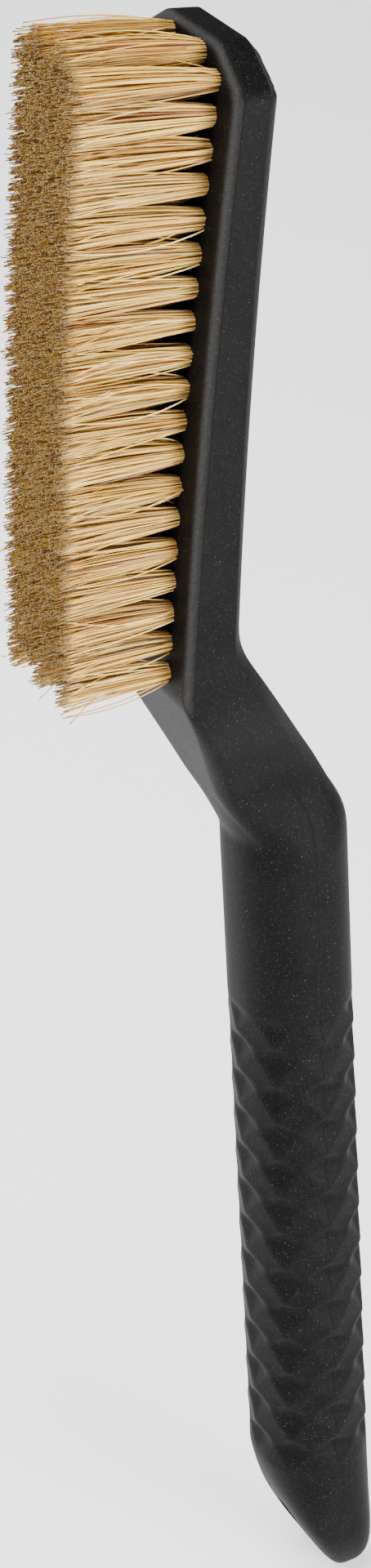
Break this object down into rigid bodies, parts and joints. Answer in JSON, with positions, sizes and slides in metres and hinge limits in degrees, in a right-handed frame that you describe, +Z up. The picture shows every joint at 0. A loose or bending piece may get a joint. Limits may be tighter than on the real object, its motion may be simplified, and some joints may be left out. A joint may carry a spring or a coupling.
{
  "type": "hand scrubbing brush",
  "caption": "Long-handled hand scrubbing brush: one-piece moulded body with a bowed head, dog-leg neck and faceted grip, natural bristle tufts on wire anchors, and a lanyard hole.",
  "frame": {"origin": "on the axis of the lanyard hole, in the middle of the handle's thickness", "axes": "+Z up towards the head along the head's length, bristles point to -Y, X across the width"},
  "size_m": [0.0258, 0.0675, 0.2382],
  "materials": {
    "moulded_body": "fine moulded grain, satin black",
    "anchor_wire": "drawn flat wire",
    "bristle": "natural straw-coloured animal bristle with dark strays"
  },
  "bodies": {
    "root": {"body": "moulded_body", "anchors": "anchor_wire", "tuft_row_1": "bristle", "tuft_row_2": "bristle", "tuft_row_3": "bristle", "tuft_row_4": "bristle", "tuft_row_5": "bristle", "tuft_row_6": "bristle", "tuft_row_7": "bristle", "tuft_row_8": "bristle", "tuft_row_9": "bristle", "tuft_row_10": "bristle", "tuft_row_11": "bristle", "tuft_row_12": "bristle", "tuft_row_13": "bristle", "tuft_row_14": "bristle", "tuft_row_15": "bristle", "tuft_row_16": "bristle", "tuft_row_17": "bristle", "tuft_row_18": "bristle", "tuft_row_19": "bristle", "tuft_row_20": "bristle", "tuft_row_21": "bristle", "tuft_row_22": "bristle", "tuft_row_23": "bristle", "tuft_row_24": "bristle", "tuft_row_25": "bristle", "tuft_row_26": "bristle", "tuft_row_27": "bristle", "tuft_row_28": "bristle", "tuft_row_29": "bristle", "tuft_row_30": "bristle", "tuft_row_31": "bristle", "tuft_row_32": "bristle", "tuft_row_33": "bristle", "tuft_row_34": "bristle", "tuft_row_35": "bristle", "tuft_row_36": "bristle", "tuft_row_37": "bristle", "tuft_row_38": "bristle"}
  },
  "joints": []
}
